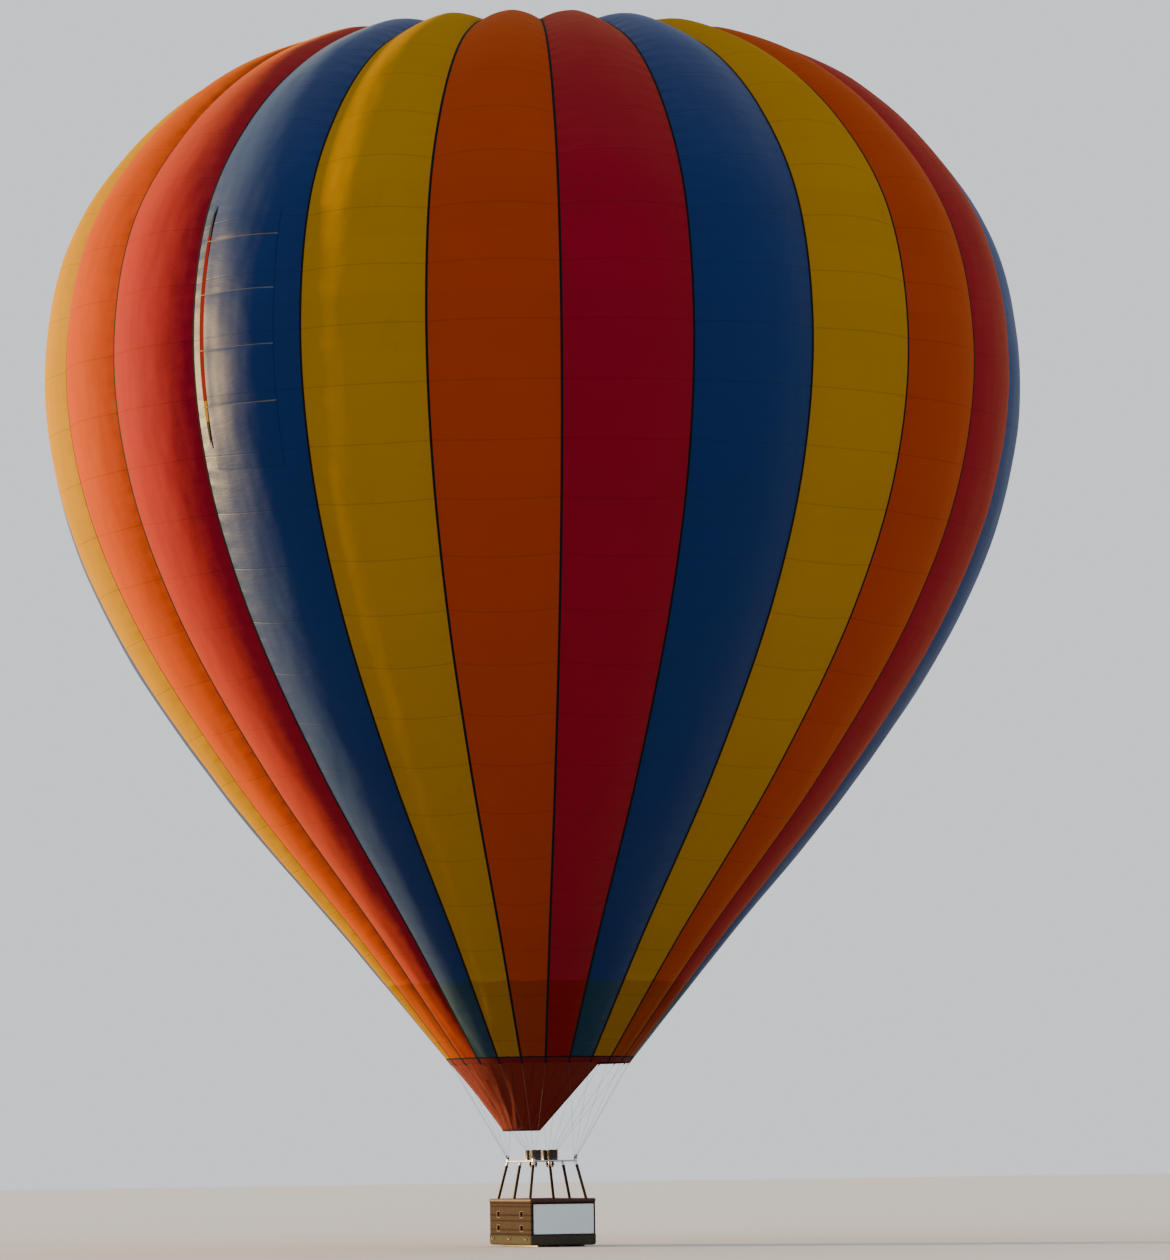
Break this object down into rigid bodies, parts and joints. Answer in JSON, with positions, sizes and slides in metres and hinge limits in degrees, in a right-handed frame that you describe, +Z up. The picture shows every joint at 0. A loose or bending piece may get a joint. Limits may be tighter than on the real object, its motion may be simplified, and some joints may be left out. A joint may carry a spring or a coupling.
{
  "type": "hot air balloon",
  "caption": "Hot air balloon with a striped, gored envelope, mouth scoop, parachute vent, gimballed burners and a partitioned wicker basket.",
  "frame": {"origin": "on the envelope's axis at the height of its widest tape line, where the surrounding air bears it up", "axes": "+Z up, +Y along the basket's long side away from the banner, +X to the right when facing +Y"},
  "size_m": [24.9534, 24.9534, 31.2462],
  "materials": {
    "crimson_cloth": "coated ripstop cloth",
    "blue_cloth": "coated ripstop cloth",
    "yellow_cloth": "coated ripstop cloth",
    "orange_cloth": "coated ripstop cloth",
    "load_tape": "woven webbing",
    "stainless_steel": "brushed",
    "burner_steel": "heat-darkened",
    "wicker": "woven cane",
    "rim_leather": "padded leather",
    "sleeve_leather": "sewn leather sleeve",
    "hide": "rawhide",
    "plywood": "varnished",
    "cylinder_jacket": "quilted jacket",
    "banner_vinyl": "plain coated cloth"
  },
  "bodies": {
    "balloon": {"gore_01_crimson": "crimson_cloth", "gore_02_blue": "blue_cloth", "gore_03_yellow": "yellow_cloth", "gore_04_orange": "orange_cloth", "gore_05_crimson": "crimson_cloth", "gore_06_blue": "blue_cloth", "gore_07_yellow": "yellow_cloth", "gore_08_orange": "orange_cloth", "gore_09_crimson": "crimson_cloth", "gore_10_blue": "blue_cloth", "gore_11_yellow": "yellow_cloth", "gore_12_orange": "orange_cloth", "gore_13_crimson": "crimson_cloth", "gore_14_blue": "blue_cloth", "gore_15_yellow": "yellow_cloth", "gore_16_orange": "orange_cloth", "gore_17_crimson": "crimson_cloth", "gore_18_blue": "blue_cloth", "gore_19_yellow": "yellow_cloth", "gore_20_orange": "orange_cloth", "gore_21_crimson": "crimson_cloth", "gore_22_blue": "blue_cloth", "gore_23_yellow": "yellow_cloth", "gore_24_orange": "orange_cloth", "mouth_band": "load_tape", "load_tapes": "load_tape", "crown_ring": "stainless_steel", "turning_vent_left": "blue_cloth", "turning_vent_right": "blue_cloth", "scoop": "crimson_cloth", "burner_frame": "stainless_steel", "basket_walls": "wicker", "basket_floor": "plywood", "basket_rim": "rim_leather", "hide_band": "hide", "partition_near": "wicker", "partition_far": "wicker", "banner": "banner_vinyl", "flying_wires_near_right": "stainless_steel", "flying_wires_far_right": "stainless_steel", "flying_wires_far_left": "stainless_steel", "flying_wires_near_left": "stainless_steel", "upright_near_right": "sleeve_leather", "upright_near_left": "sleeve_leather", "upright_middle_right": "sleeve_leather", "upright_middle_left": "sleeve_leather", "upright_far_right": "sleeve_leather", "upright_far_left": "sleeve_leather", "fuel_cylinder_1": "cylinder_jacket", "fuel_cylinder_2": "cylinder_jacket", "fuel_cylinder_3": "cylinder_jacket", "fuel_cylinder_4": "cylinder_jacket"},
    "parachute_vent": {"parachute_vent": "yellow_cloth"},
    "gimbal": {"gimbal_ring": "stainless_steel"},
    "burners": {"burner_block": "stainless_steel", "burner_1": "burner_steel", "burner_2": "burner_steel", "burner_3": "burner_steel", "burner_4": "burner_steel"}
  },
  "joints": [
    {"name": "vent_slide", "type": "slide", "parent": "balloon", "child": "parachute_vent", "axis": [0, 0, -1], "range_m": [0, 2]},
    {"name": "gimbal_pitch", "type": "hinge", "parent": "balloon", "child": "gimbal", "pos_m": [0, 0, -20.13], "axis": [1, 0, 0], "range_deg": [-10, 10]},
    {"name": "burner_roll", "type": "hinge", "parent": "gimbal", "child": "burners", "pos_m": [0, 0, -20.13], "axis": [0, -1, 0], "range_deg": [-10, 10]}
  ]
}
